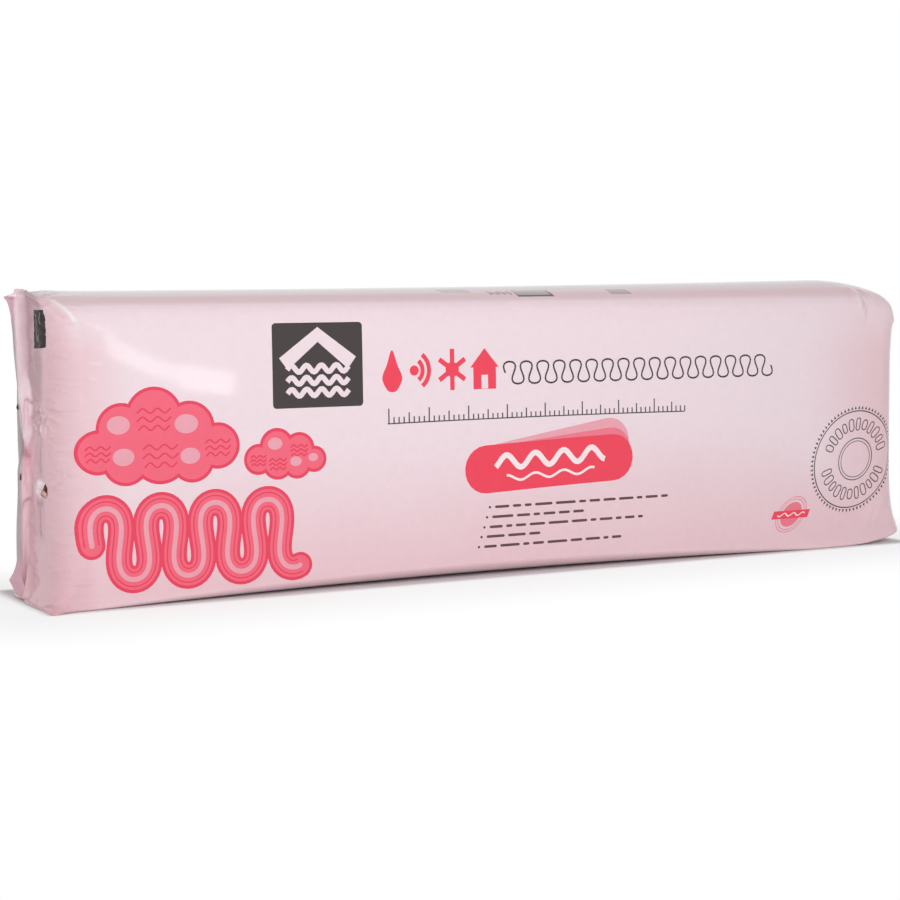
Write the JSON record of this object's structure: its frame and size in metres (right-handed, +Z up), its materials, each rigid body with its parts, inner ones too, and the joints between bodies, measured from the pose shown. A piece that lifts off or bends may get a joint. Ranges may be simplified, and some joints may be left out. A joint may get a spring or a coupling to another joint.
{
  "type": "bagged pack of glass fibre insulation batts",
  "caption": "Long compression-packed film bag of glass fibre insulation batts, standing on its narrow side, with a flat seal across each end.",
  "frame": {"origin": "on the floor under the middle of the pack", "axes": "+X along the pack, +Y through its depth away from the main printed face, +Z up"},
  "size_m": [2.4572, 0.4012, 0.7095],
  "materials": {
    "printed_film": "thin glossy polyethylene film, pale pink with crimson and dark print",
    "glass_wool": "matt pink glass wool"
  },
  "bodies": {
    "root": {"film_bag": "printed_film", "batt_1": "glass_wool", "batt_2": "glass_wool", "batt_3": "glass_wool", "batt_4": "glass_wool", "batt_5": "glass_wool", "batt_6": "glass_wool", "batt_7": "glass_wool", "batt_8": "glass_wool", "batt_9": "glass_wool"}
  },
  "joints": []
}
